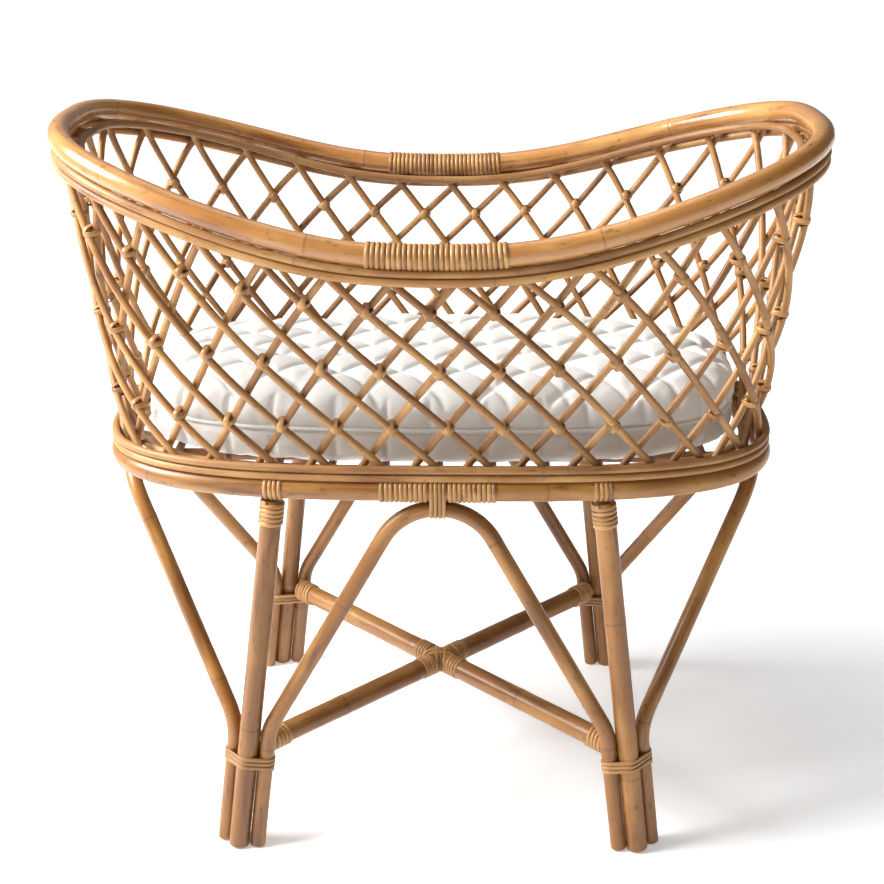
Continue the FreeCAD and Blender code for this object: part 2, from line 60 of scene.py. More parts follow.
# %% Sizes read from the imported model
POLE = (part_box("ring_pole_right")[1].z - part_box("ring_pole_right")[0].z) / 2
RIM_LOW, RIM_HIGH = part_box("rim_pole_right")
RING_LOW, RING_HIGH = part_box("ring_pole_right")
RIM_LENGTH = RIM_HIGH.x - POLE
RIM_WIDTH = RIM_HIGH.y - POLE
RING_LENGTH = RING_HIGH.x - POLE
RING_WIDTH = RING_HIGH.y - POLE
RING_HEIGHT = (RING_LOW.z + RING_HIGH.z) / 2
RIM_MIDDLE = RIM_LOW.z + POLE
RIM_END = RIM_HIGH.z - POLE
END_LIFT = 0.028
RIM_SQUARE = 2.82
RING_SQUARE = 3.22
print("pole radius", round(POLE, 4), "rim", round(RIM_LENGTH, 4), round(RIM_WIDTH, 4),
      "heights", round(RIM_MIDDLE, 4), round(RIM_END, 4), "ring", round(RING_HEIGHT, 4))


# %% Walking along an oval
OVALS = {}


def squared(angle, square):
    """Circle pushed out towards its corners: the more, the larger the squareness."""
    c, s = np.cos(angle), np.sin(angle)
    return np.stack([np.sign(c) * abs(c) ** (2 / square), np.sign(s) * abs(s) ** (2 / square)], 1)


def oval(length, width, square):
    """Points of the oval from the front middle, and the distance walked to each."""
    key = (round(length, 6), round(width, 6), square)
    if key not in OVALS:
        angle = np.linspace(0, 2 * math.pi, 5761) - math.pi / 2
        points = squared(angle, square) * (length, width)
        steps = np.linalg.norm(np.diff(points, axis=0), axis=1)
        OVALS[key] = points, np.concatenate([[0], np.cumsum(steps)])
    return OVALS[key]


def walk(length, width, square, share):
    points, walked = oval(length, width, square)
    at = (np.asarray(share, float) % 1.0) * walked[-1]
    return np.stack([np.interp(at, walked, points[:, 0]), np.interp(at, walked, points[:, 1])], -1)


def rim_height(x):
    """Low in the middle of the long sides, high at both ends."""
    reach = np.minimum(abs(x) / RIM_LENGTH, 1.0)
    wave = ((1 - np.cos(math.pi * reach)) / 2) ** 1.25
    return RIM_MIDDLE + (RIM_END - END_LIFT - RIM_MIDDLE) * wave + END_LIFT * reach ** 6


def rim_line(share, outward=0.0, drop=0.0):
    plan = walk(RIM_LENGTH + outward, RIM_WIDTH + outward, RIM_SQUARE, share)
    height = rim_height(walk(RIM_LENGTH, RIM_WIDTH, RIM_SQUARE, share)[..., 0]) - drop
    return np.concatenate([plan, height[..., None]], -1)


def ring_line(share, outward=0.0, rise=0.0):
    plan = walk(RING_LENGTH + outward, RING_WIDTH + outward, RING_SQUARE, share)
    return np.concatenate([plan, np.full(plan.shape[:-1] + (1,), RING_HEIGHT + rise)], -1)


RIM_WALK = oval(RIM_LENGTH, RIM_WIDTH, RIM_SQUARE)[1][-1]
RING_WALK = oval(RING_LENGTH, RING_WIDTH, RING_SQUARE)[1][-1]
print("rim is", round(float(RIM_WALK), 3), "m round, ring", round(float(RING_WALK), 3))

# %% [markdown]
# ## From a line to a pole
# A pole is a ring of points carried along a line. The carried ring must not twist, so each step keeps
# the last step's sideways direction, less what now points along the line. Three facts are stored on
# every point for the finishes to use: where it would be if the pole were straightened (so grain runs
# along the pole), the tone of its own cane, and how near it is to a growth scar.

# %% Meshes are gathered here and made once
RANDOM = random.Random(11)


class Batch:
    """Several strands that will be one Blender object."""

    def __init__(self):
        self.points, self.faces, self.straight, self.tone, self.scar = [], [], [], [], []
        self.count = 0

    def add(self, points, faces, straight, tone, scar):
        self.faces += [[self.count + i for i in face] for face in faces]
        self.points.append(points)
        self.straight.append(straight)
        self.tone.append(np.full(len(points), tone))
        self.scar.append(scar)
        self.count += len(points)

    def build(self, name, material, slot, *nodes, body="frame"):
        mesh = bpy.data.meshes.new(name)
        mesh.from_pydata(np.concatenate(self.points).tolist(), [], self.faces)
        straight = mesh.attributes.new("straight", "FLOAT_VECTOR", "POINT")
        straight.data.foreach_set("vector", np.concatenate(self.straight).astype(np.float32).ravel())
        for title, values in (("tone", self.tone), ("scar", self.scar)):
            layer = mesh.attributes.new(title, "FLOAT", "POINT")
            layer.data.foreach_set("value", np.concatenate(values).astype(np.float32))
        mesh.shade_smooth()
        mesh.materials.append(material)
        piece = bpy.data.objects.new(name, mesh)
        bpy.context.scene.collection.objects.link(piece)
        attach(piece, body)
        if nodes:
            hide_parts(*nodes)
        print(name, len(mesh.vertices), "points,", len(mesh.polygons), "faces")


def unit(v):
    return v / np.maximum(np.linalg.norm(v, axis=-1, keepdims=True), 1e-12)


def carried(path, closed=False):
    """Along, sideways and up directions at each point of a line, without twist."""
    if closed:
        along = unit(np.roll(path, -1, 0) - np.roll(path, 1, 0))
    else:
        along = unit(np.gradient(path, axis=0))
    side = np.cross(along[0], (0, 0, 1.0))
    if np.linalg.norm(side) < 0.2:
        side = np.cross(along[0], (0, 1.0, 0))
    sides = []
    for direction in along:
        side = side - direction * np.dot(side, direction)
        side = side / np.linalg.norm(side)
        sides.append(side)
    sides = np.array(sides)
    return along, sides, np.cross(along, sides)


def walked(path):
    return np.concatenate([[0], np.cumsum(np.linalg.norm(np.diff(path, axis=0), axis=1))])


# %% A pole along any line
def pole(batch, path, radius, step=0.005, sides=16, bevel=0.0012, scars=(), closed=False,
         wave=0.012):
    """Round pole with softened ends, slightly uneven thickness and swollen growth scars."""
    far = walked(path)
    length = far[-1]
    at = np.linspace(0, length, max(int(length / step), 6))
    near_ends = [] if closed else [bevel * k for k in (0.15, 0.5, 1.0)]
    extra = near_ends + [length - e for e in near_ends]
    for scar in scars:
        extra += [scar + d for d in (-0.004, -0.0025, -0.0012, 0, 0.0012, 0.0025, 0.004)]
    at = np.unique(np.clip(np.concatenate([at, extra]), 0, length))
    at = at[np.concatenate([[True], np.diff(at) > 1e-5])]
    if closed:
        at = at[:-1]
    line = np.stack([np.interp(at, far, path[:, i]) for i in range(3)], 1)
    along, across, up = carried(line, closed)
    start = RANDOM.uniform(0, 40)
    girth = radius * (1 + wave * np.sin(at * 23 + start) * np.sin(at * 9.1 + 2 * start))
    mark = np.zeros(len(at))
    for scar in scars:
        gap = at - scar
        girth += radius * (0.030 * np.exp(-(gap / 0.006) ** 2) - 0.025 * np.exp(-(gap / 0.0012) ** 2))
        mark += np.exp(-(gap / 0.0016) ** 2)
    if not closed:
        edge = np.minimum(at, length - at)
        inset = np.clip(1 - edge / bevel, 0, 1)
        girth -= bevel * (1 - np.sqrt(1 - inset ** 2 * 0.999))
    angle = np.linspace(0, 2 * math.pi, sides, endpoint=False)
    c, s = np.cos(angle), np.sin(angle)
    points = (line[:, None] + girth[:, None, None]
              * (across[:, None] * c[None, :, None] + up[:, None] * s[None, :, None]))
    straight = np.stack([np.repeat(at[:, None] + start, sides, 1),
                         girth[:, None] * c, girth[:, None] * s], -1)
    points, straight = points.reshape(-1, 3), straight.reshape(-1, 3)
    mark = np.repeat(mark, sides)
    faces = []
    rings = len(at)
    for i in range(rings if closed else rings - 1):
        a, b = i * sides, (i + 1) % rings * sides
        faces += [[a + k, a + (k + 1) % sides, b + (k + 1) % sides, b + k] for k in range(sides)]
    if not closed:
        first, last = len(points), len(points) + 1
        points = np.concatenate([points, line[:1], line[-1:]])
        straight = np.concatenate([straight, [[at[0] + start, 0, 0], [at[-1] + start, 0, 0]]])
        mark = np.concatenate([mark, [0, 0]])
        end = (rings - 1) * sides
        faces += [[first, (k + 1) % sides, k] for k in range(sides)]
        faces += [[last, end + k, end + (k + 1) % sides] for k in range(sides)]
    batch.add(points, faces, straight, RANDOM.uniform(0, 1), mark)


def scars_along(length, spacing):
    """Growth scars at uneven distances."""
    at, found = RANDOM.uniform(0.3, 0.9) * spacing, []
    while at < length - 0.02:
        found.append(at)
        at += spacing * RANDOM.uniform(0.75, 1.3)
    return found


# %% [markdown]
# ## Wound strip
# Every joint on a rattan piece is bound with flat split cane. A turn of strip is a narrow band with a
# rounded back that follows an outline: a circle round one pole, or a belt round several poles side by
# side. The winding climbs by a little more than its own width each turn, which leaves the fine dark
# lines between the turns.

# %% Outlines to wind round
def circle_outline(radius, count=28):
    angle = np.linspace(0, 2 * math.pi, count, endpoint=False)
    normals = np.stack([np.cos(angle), np.sin(angle)], 1)
    return normals * radius, normals


def belt_outline(circles, count=16):
    """Tight belt round circles (x, y, radius): points and the directions they face."""
    angle = np.linspace(0, 2 * math.pi, 4 * count, endpoint=False)
    facing = np.stack([np.cos(angle), np.sin(angle)], 1)
    centres = np.array([c[:2] for c in circles])
    radii = np.array([c[2] for c in circles])
    reach = facing @ centres.T + radii
    best = reach.argmax(1)
    points = centres[best] + facing * radii[best][:, None]
    dense, normals = [], []
    for i in range(len(points)):
        a, b = points[i], points[(i + 1) % len(points)]
        pieces = max(1, int(np.linalg.norm(b - a) / 0.006))
        for k in range(pieces):
            part = k / pieces
            dense.append(a + (b - a) * part)
            normals.append(facing[i] * (1 - part) + facing[(i + 1) % len(points)] * part)
    return np.array(dense), unit(np.array(normals))


STRIP_ACROSS = np.array([-0.5, -0.48, -0.40, -0.22, 0.0, 0.22, 0.40, 0.48, 0.5])
STRIP_BULGE = np.array([0.0, 0.35, 0.66, 0.92, 1.0, 0.92, 0.66, 0.35, 0.0])
STRIP_SINK = 0.0003


def strip(batch, centres, along, out, width, thick, closed=False):
    """Band with a rounded back through the centres, lying flat with its back facing out."""
    columns = len(STRIP_ACROSS)
    shape = (centres[:, None] + along[:, None] * (STRIP_ACROSS * width)[None, :, None]
             + out[:, None] * (STRIP_BULGE * thick - STRIP_SINK)[None, :, None])
    far = walked(centres)
    start = RANDOM.uniform(0, 40)
    straight = np.stack([np.repeat(far[:, None] + start, columns, 1),
                         np.repeat((STRIP_ACROSS * width)[None], len(far), 0),
                         np.repeat((STRIP_BULGE * thick)[None], len(far), 0)], -1)
    faces = []
    rows = len(centres)
    for i in range(rows if closed else rows - 1):
        a, b = i * columns, (i + 1) % rows * columns
        faces += [[a + k, b + k, b + (k + 1) % columns, a + (k + 1) % columns] for k in range(columns)]
    if not closed:
        faces.append(list(range(columns)))
        faces.append(list(range((rows - 1) * columns, rows * columns))[::-1])
    batch.add(shape.reshape(-1, 3), faces, straight.reshape(-1, 3),
              RANDOM.uniform(0, 1), np.zeros(rows * columns))


def winding(batch, place, outline, turns, width, thick, pitch, start=0.0):
    """Turns of strip round an outline. place(u) gives the origin and three directions at distance u."""
    points, normals = outline
    count = len(points)
    total = int(turns * count)
    turn = np.arange(total + 1) / count
    sway = RANDOM.uniform(0, 6)
    u = start + width / 2 + pitch * turn + 0.00025 * np.sin(turn * 2 * math.pi + sway)
    index = np.arange(total + 1) % count
    origin, x_way, y_way, z_way = place(u)
    p, n = points[index], normals[index]
    centres = origin + x_way * p[:, :1] + y_way * p[:, 1:]
    out = x_way * n[:, :1] + y_way * n[:, 1:]
    strip(batch, centres, z_way, out, width, thick)


def loops(batch, place, outline, starts, width, thick):
    """Separate closed turns, one at each start distance."""
    points, normals = outline
    for start in starts:
        u = np.full(len(points), start) + RANDOM.uniform(-0.0002, 0.0002)
        origin, x_way, y_way, z_way = place(u)
        centres = origin + x_way * points[:, :1] + y_way * points[:, 1:]
        out = x_way * normals[:, :1] + y_way * normals[:, 1:]
        strip(batch, centres, z_way, out, width, thick, closed=True)


def along_line(path):
    """place() for a winding that follows a line."""
    far = walked(path)
    along, across, up = carried(path)

    def place(u):
        pick = [np.stack([np.interp(u, far, values[:, i]) for i in range(3)], 1)
                for values in (path, across, up, along)]
        return pick[0], unit(pick[1]), unit(pick[2]), unit(pick[3])
    return place


def along_axis(origin, x_way, y_way, axis):
    """place() for turns about a straight axis, with the outline in the two directions given."""
    def place(u):
        ones = np.ones((len(u), 1))
        return origin + axis * u[:, None], ones * x_way, ones * y_way, ones * axis
    return place


# %% [markdown]
# ## Finishes
# Rattan is yellow-brown with long fine fibres, paler and darker patches, and a lacquer over it. The
# fibres come from noise stretched along the straightened pole, patches and small brown blotches from
# broader noise, scars from the stored distance. One recipe serves the honey rim, the browner stand
# and the pale peeled cane.

# %% A recipe for rattan
FIBRE_RELIEF = 0.06


def rattan(name, pale, middle, deep, rough, coat, scar_tone, fibre=0.35):
    material = bpy.data.materials.new(name)
    material.use_nodes = True
    tree = material.node_tree
    nodes, links = tree.nodes, tree.links
    shader = nodes["Principled BSDF"]

    def make(kind, **settings):
        made = nodes.new(kind)
        for key, value in settings.items():
            setattr(made, key, value)
        return made

    def noise(scale, along, detail, size):
        mapping = make("ShaderNodeMapping")
        mapping.inputs["Scale"].default_value = (along, 1.0, 1.0)
        links.new(straight.outputs["Vector"], mapping.inputs["Vector"])
        made = make("ShaderNodeTexNoise")
        made.inputs["Scale"].default_value = scale
        made.inputs["Detail"].default_value = detail
        made.inputs["Roughness"].default_value = size
        links.new(mapping.outputs["Vector"], made.inputs["Vector"])
        return made.outputs["Fac"]

    def blend(a, b, factor, mode="MIX"):
        mix = make("ShaderNodeMix", data_type="RGBA", blend_type=mode)
        for socket, value in ((mix.inputs[6], a), (mix.inputs[7], b), (mix.inputs[0], factor)):
            if isinstance(value, (tuple, list)):
                socket.default_value = (*value, 1.0)
            elif isinstance(value, float):
                socket.default_value = value
            else:
                links.new(value, socket)
        return mix.outputs[2]

    def steps(value, low, high, most=1.0):
        ramp = make("ShaderNodeMapRange", interpolation_type="SMOOTHSTEP")
        ramp.inputs["From Min"].default_value = low
        ramp.inputs["From Max"].default_value = high
        ramp.inputs["To Max"].default_value = most
        links.new(value, ramp.inputs["Value"])
        return ramp.outputs["Result"]

    straight = make("ShaderNodeAttribute", attribute_name="straight")
    tone = make("ShaderNodeAttribute", attribute_name="tone")
    scar = make("ShaderNodeAttribute", attribute_name="scar")
    patches = noise(26.0, 0.35, 3.0, 0.5)
    fibres = noise(900.0, 0.02, 4.0, 0.6)
    flecks = noise(330.0, 0.12, 2.0, 0.5)
    colour = blend(middle, pale, steps(patches, 0.42, 0.68))
    colour = blend(colour, deep, steps(noise(60.0, 0.12, 3.0, 0.55), 0.50, 0.74))
    colour = blend(colour, deep, steps(tone.outputs["Fac"], 0.35, 1.6))
    shade = make("ShaderNodeMapRange")
    shade.inputs["To Min"].default_value = 1.0 - fibre
    shade.inputs["To Max"].default_value = 1.0 + fibre * 0.35
    links.new(fibres, shade.inputs["Value"])
    tint = make("ShaderNodeCombineColor")
    for i in range(3):
        links.new(shade.outputs["Result"], tint.inputs[i])
    colour = blend(colour, tint.outputs["Color"], 1.0, "MULTIPLY")
    blotches = noise(150.0, 0.45, 2.0, 0.6)
    colour = blend(colour, scar_tone, steps(blotches, 0.60, 0.76, 0.5))
    colour = blend(colour, tuple(v * 0.55 for v in deep), steps(flecks, 0.66, 0.80))
    colour = blend(colour, scar_tone, steps(scar.outputs["Fac"], 0.15, 1.1, 0.4))
    links.new(colour, shader.inputs["Base Color"])
    gloss = make("ShaderNodeMapRange")
    gloss.inputs["To Min"].default_value = rough * 0.8
    gloss.inputs["To Max"].default_value = rough * 1.25
    links.new(patches, gloss.inputs["Value"])
    links.new(gloss.outputs["Result"], shader.inputs["Roughness"])
    shader.inputs["Coat Weight"].default_value = coat
    shader.inputs["Coat Roughness"].default_value = 0.22
    dent = make("ShaderNodeBump")
    dent.inputs["Strength"].default_value = FIBRE_RELIEF
    dent.inputs["Distance"].default_value = 0.0006
    links.new(fibres, dent.inputs["Height"])
    links.new(dent.outputs["Normal"], shader.inputs["Normal"])
    print("finish", name)
    return material


# %% The rattan finishes of this bassinet
def tone_of(r, g, b):
    """A colour given on a 0 to 255 scale, as Blender's linear values."""
    def linear(v):
        v = v / 255
        return v / 12.92 if v <= 0.04045 else ((v + 0.055) / 1.055) ** 2.4
    return tuple(linear(v) for v in (r, g, b))


RIM_FINISH = rattan("honey_lacquered_rattan", tone_of(214, 158, 90), tone_of(192, 132, 68),
                    tone_of(134, 78, 31), 0.24, 0.65, tone_of(92, 52, 22))
STAND_FINISH = rattan("brown_lacquered_rattan", tone_of(180, 127, 62), tone_of(152, 100, 44),
                      tone_of(108, 65, 26), 0.38, 0.15, tone_of(66, 38, 18))
CANE_FINISH = rattan("pale_peeled_cane", tone_of(198, 151, 92), tone_of(172, 122, 70),
                     tone_of(120, 75, 36), 0.48, 0.05, tone_of(86, 54, 29), fibre=0.28)
STRIP_FINISH = rattan("flat_split_cane", tone_of(206, 159, 98), tone_of(180, 130, 74),
                      tone_of(128, 84, 46), 0.42, 0.12, tone_of(86, 54, 29), fibre=0.42)
BED_FINISH = rattan("raw_brown_rattan", tone_of(150, 104, 62), tone_of(128, 84, 48),
                    tone_of(98, 62, 36), 0.60, 0.0, tone_of(70, 44, 26))

# %% [markdown]
# ## Rim, ring and thin rods
# The rim and the ring are each bent from two poles that meet in the middle of the long sides, under
# the bindings. The thin rods are one long rod each: two stacked outside under the rim, one inside,
# and the same three at the foot of the lattice.

# %% Rim and ring
GAP = 0.0001
for side, first in (("right", 0.0), ("left", 0.5)):
    share = np.linspace(first + GAP, first + 0.5 - GAP, 700)
    for name, line, finish, slot in (("rim_pole_", rim_line, RIM_FINISH, "rim_pole"),
                                     ("ring_pole_", ring_line, STAND_FINISH, "stand_pole")):
        batch = Batch()
        path = line(share)
        pole(batch, path, POLE, step=0.004, sides=28, scars=scars_along(walked(path)[-1], 0.30),
             wave=0.006)
        batch.build(name + side + "_bent", finish, slot, name + side)

# %% Thin rods
ROD = (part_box("ring_rod_upper")[1].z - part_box("ring_rod_upper")[0].z) / 2
CANE = 0.0043
ROD_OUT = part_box("ring_rod_upper")[1].x - ROD - RING_LENGTH
ROD_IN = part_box("ring_rod_inner")[1].x - ROD - RING_LENGTH
RISE = (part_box("ring_rod_lower")[0].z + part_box("ring_rod_lower")[1].z) / 2 - RING_HEIGHT
PITCH = (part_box("ring_rod_upper")[0].z + ROD) - (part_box("ring_rod_lower")[0].z + ROD)
DROP = RIM_END - (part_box("rim_rod_upper")[1].z - ROD)
share = np.linspace(0.5 + GAP / 4, 1.5 - GAP / 4, 1400)
for name, path in (("rim_rod_upper", rim_line(share, ROD_OUT, DROP)),
                   ("rim_rod_lower", rim_line(share, ROD_OUT, DROP + PITCH)),
                   ("rim_rod_inner", rim_line(share, ROD_IN, DROP)),
                   ("ring_rod_lower", ring_line(share, ROD_OUT, RISE)),
                   ("ring_rod_upper", ring_line(share, ROD_OUT, RISE + PITCH)),
                   ("ring_rod_inner", ring_line(share, ROD_IN, RISE))):
    batch = Batch()
    pole(batch, path, ROD + 0.00015, step=0.006, sides=14, bevel=0.0004, wave=0.004,
         scars=scars_along(walked(path)[-1], 0.45))
    batch.build(name + "_bent", CANE_FINISH, "thin_cane", name)

# %% [markdown]
# ## The lattice
# Two layers of canes lean opposite ways and never weave: the outer layer lies on the inner one. A
# cane climbs the wall while it walks along the oval, so its line is a share that changes with its
# level. At the high ends of the basket the levels stretch upwards, more so near the rim.

# %% Canes
CANES = 33
OUT_LAYER = ROD_OUT - ROD - CANE - 0.0002
IN_LAYER = OUT_LAYER - 0.009
LATTICE_FOOT = RISE + PITCH + ROD
LATTICE_HEAD = DROP + PITCH + ROD
WALL_FOOT = RING_HEIGHT + LATTICE_FOOT
WALL_TALL = RIM_MIDDLE - LATTICE_HEAD - WALL_FOOT
OUT_SHIFT, OUT_PHASE = -3.55, -0.102
IN_SHIFT, IN_PHASE = 2.66, -0.367
UPRIGHT = 0.006
CANE_FOOT_GAP, CANE_HEAD_GAP = 0.0032, 0.004


def smooth_between(z, low, high):
    """0 below low, 1 above high, and a line between them with slightly eased ends."""
    part = (z - low) / (high - low)
    ease = 0.02
    return (np.sqrt(part ** 2 + ease ** 2) - np.sqrt((part - 1) ** 2 + ease ** 2) + 1) / 2


def lattice(share, level, outward):
    foot, head = ring_line(share, outward), rim_line(share, outward)
    extra = head[..., 2] - RIM_MIDDLE
    z = WALL_FOOT + WALL_TALL * level + extra * level * abs(level)
    lean_to = head[..., 2] - LATTICE_HEAD - UPRIGHT
    part = smooth_between(z, WALL_FOOT + UPRIGHT, lean_to)[..., None]
    return np.concatenate([foot[..., :2] + (head[..., :2] - foot[..., :2]) * part, z[..., None]], -1)


def cane_path(number, phase, shift, outward):
    """One cane from just over the ring's back to just under the rim."""
    level = np.linspace(-(LATTICE_FOOT - POLE - CANE_FOOT_GAP) / WALL_TALL, 1.35, 500)
    share = (number + phase + shift * level) / CANES
    path = lattice(share, level, outward)
    ceiling = rim_line(share, outward)[:, 2] - POLE - CANE_HEAD_GAP
    return path[path[:, 2] < ceiling]


for name, phase, shift, outward in (("canes_outer", OUT_PHASE, OUT_SHIFT, OUT_LAYER),
                                    ("canes_inner", IN_PHASE, IN_SHIFT, IN_LAYER)):
    batch = Batch()
    for number in range(CANES):
        path = cane_path(number, phase, shift, outward)
        length = walked(path)[-1]
        pole(batch, path, CANE * RANDOM.uniform(0.96, 1.03), step=0.007, sides=12,
             scars=scars_along(length, 0.55), wave=0.02)
    batch.build(name + "_peeled", CANE_FINISH, "thin_cane", name)

# %% [markdown]
# ## Lashed crossings
# At every second crossing a short piece of flat cane is pulled round both canes, first level and
# then upright, and tucked behind. Each lashing is two loops square to the wall, the upright one on
# top, and every loop leans a little differently.

# %% Knots
KNOT_WIDTH, KNOT_THICK = 0.0076, 0.0017
KNOT_SQUARE = 2.4


def wall_frame(share, level):
    """Middle of the wall, and its sideways, upward and outward directions."""
    middle = (OUT_LAYER + IN_LAYER) / 2
    at = lattice(np.array([share]), np.array([level]), middle)[0]
    up = unit(lattice(np.array([share]), np.array([level + 0.02]), middle)[0] - at)
    side = unit(lattice(np.array([share + 0.002]), np.array([level]), middle)[0] - at)
    out = unit(np.cross(side, up))
    return at, side, np.cross(out, side), out


for row, crossing in (("low", 1), ("middle", 3), ("high", 5)):
    batch = Batch()
    level = (crossing + OUT_PHASE - IN_PHASE) / (IN_SHIFT - OUT_SHIFT)
    for number in range(CANES):
        share = (number + OUT_PHASE + OUT_SHIFT * level) / CANES
        at, side, up, out = wall_frame(share, level)
        for lean, width, deep, tall in (
                (RANDOM.uniform(-0.20, 0.10), KNOT_WIDTH, 2.12 * CANE, 1.58 * CANE),
                (math.pi / 2 + RANDOM.uniform(-0.25, 0.25), KNOT_WIDTH * 0.9, 2.06 * CANE, 1.50 * CANE)):
            turned = up * math.cos(lean) + side * math.sin(lean)
            across = up * math.sin(lean) - side * math.cos(lean)
            angle = np.linspace(0, 2 * math.pi, 24, endpoint=False)
            c, s = np.cos(angle), np.sin(angle)
            tall = RANDOM.uniform(0.98, 1.06) * tall
            way = squared(angle, KNOT_SQUARE) * (deep, tall)
            centres = at + out * way[:, :1] + turned * way[:, 1:]
            facing = unit(out * c[:, None] + turned * s[:, None])
            strip(batch, centres, np.repeat(across[None], 24, 0), facing, width, KNOT_THICK, closed=True)
    batch.build("knots_" + row + "_lashed", STRIP_FINISH, "cane_strip", "knots_" + row)

# %% [markdown]
# ## The stand
# Four straight legs splay outwards. Beside each stand the feet of two arches, bent from thinner pole:
# up to the ankle they run alongside the leg, then they swing away to meet under the ring. An arch is
# straight runs joined by true bends, so its line is corners rounded to a radius.

# %% Legs
LEG = 0.0125
ARCH = 0.0095
ANKLE = 0.155
SIDE = {"left": -1, "right": 1, "front": -1, "rear": 1}
LEG_FOOT = np.array([0.2414, 0.228])
LEG_HEAD = np.array([0.185, 0.1927])
LEG_GAP = 0.0033
LEG_TOP = RING_HEIGHT - POLE - LEG_GAP


def beside_leg(sx, sy, z, outward=0.0, inward=0.0):
    """Point at height z on a leg's line, or beside it."""
    reach, spread = LEG_FOOT + (LEG_HEAD - LEG_FOOT) * (z / RING_HEIGHT)
    return np.array([sx * (reach + outward), sy * (spread - inward), z])


def floor_level(batch):
    """Every pole end sawn level: points under the floor are brought up to it."""
    for points in batch.points:
        points[:, 2] = np.maximum(points[:, 2], 0.0)


for y_word in ("front", "rear"):
    for x_word in ("left", "right"):
        batch = Batch()
        ends = [beside_leg(SIDE[x_word], SIDE[y_word], z) for z in (0.0012, LEG_TOP)]
        path = ends[0] + (ends[1] - ends[0]) * np.linspace(0, 1, 60)[:, None]
        pole(batch, path, LEG, step=0.005, sides=24, scars=scars_along(0.44, 0.24), bevel=0.002, wave=0.01)
        floor_level(batch)
        name = "leg_" + y_word + "_" + x_word
        batch.build(name + "_pole", STAND_FINISH, "stand_pole", name)


# %% Arches
def rounded(corners, radii):
    """Points along straight runs joined by bends of the given radii."""
    line = [corners[0]]
    for before, corner, after, radius in zip(corners, corners[1:], corners[2:], radii):
        back, on = unit(before - corner), unit(after - corner)
        half = math.acos(float(np.dot(back, on))) / 2
        middle = corner + unit(back + on) * (radius / math.sin(half))
        first, last = corner + back * radius / math.tan(half), corner + on * radius / math.tan(half)
        a, b = first - middle, last - middle
        sweep = math.acos(float(np.clip(np.dot(unit(a), unit(b)), -1, 1)))
        for k in range(25):
            part = k / 24
            line.append(middle + (a * math.sin((1 - part) * sweep) + b * math.sin(part * sweep))
                        / math.sin(sweep))
    line.append(corners[-1])
    return np.array(line)


BESIDE = LEG + ARCH + 0.0003
END_OUT, END_IN = 0.018, 0.014
FRONT_CORNER = (0.1945, 0.508)
END_CORNER = (0.4406, 0.541)
ARCHES = {}
for name, feet, corner, bend, outward, inward in (
        ("front", ((-1, -1), (1, -1)), (0, -FRONT_CORNER[0], FRONT_CORNER[1]), 0.072, -BESIDE, 0),
        ("rear", ((-1, 1), (1, 1)), (0, FRONT_CORNER[0], FRONT_CORNER[1]), 0.072, -BESIDE, 0),
        ("left", ((-1, -1), (-1, 1)), (-END_CORNER[0], 0, END_CORNER[1]), 0.0876, END_OUT, END_IN),
        ("right", ((1, -1), (1, 1)), (END_CORNER[0], 0, END_CORNER[1]), 0.0876, END_OUT, END_IN)):
    foot, ankle = [[beside_leg(sx, sy, z, outward, inward) for sx, sy in feet] for z in (0.0012, ANKLE)]
    path = rounded([foot[0], ankle[0], np.array(corner, float), ankle[1], foot[1]], (0.07, bend, 0.07))
    ARCHES[name] = path
    batch = Batch()
    pole(batch, path, ARCH, step=0.005, sides=22, scars=scars_along(walked(path)[-1], 0.27),
         bevel=0.0018, wave=0.01)
    floor_level(batch)
    batch.build("arch_" + name + "_bent", STAND_FINISH, "stand_pole", "arch_" + name)

# %% Crossed stretcher
CROSS = (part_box("cross_pole_rising")[1].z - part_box("cross_pole_rising")[0].z) / 2
CROSS_HEIGHT = (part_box("cross_pole_rising")[1].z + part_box("cross_pole_rising")[0].z) / 2
CROSS_HALF = 0.2862
CROSS_ANGLE = math.radians(44.6)
cross_way = {}
for name, turn in (("rising", 1), ("falling", -1)):
    way = np.array([math.cos(CROSS_ANGLE), turn * math.sin(CROSS_ANGLE), 0])
    cross_way[name] = way
    middle = np.array([0, 0, CROSS_HEIGHT])
    path = middle + way * np.linspace(-CROSS_HALF, CROSS_HALF, 80)[:, None]
    batch = Batch()
    pole(batch, path, CROSS, step=0.005, sides=24, scars=[0.115, 0.235, 0.43], wave=0.008)
    batch.build("cross_pole_" + name + "_round", STAND_FINISH, "stand_pole", "cross_pole_" + name)

# %% [markdown]
# ## Bindings
# The long bindings hide the joints of the rim and the ring. Each leg is tied to the ring by turns
# over the ring and more turns round the leg, each arch by turns round ring and arch together, and
# each foot by turns round its three poles.

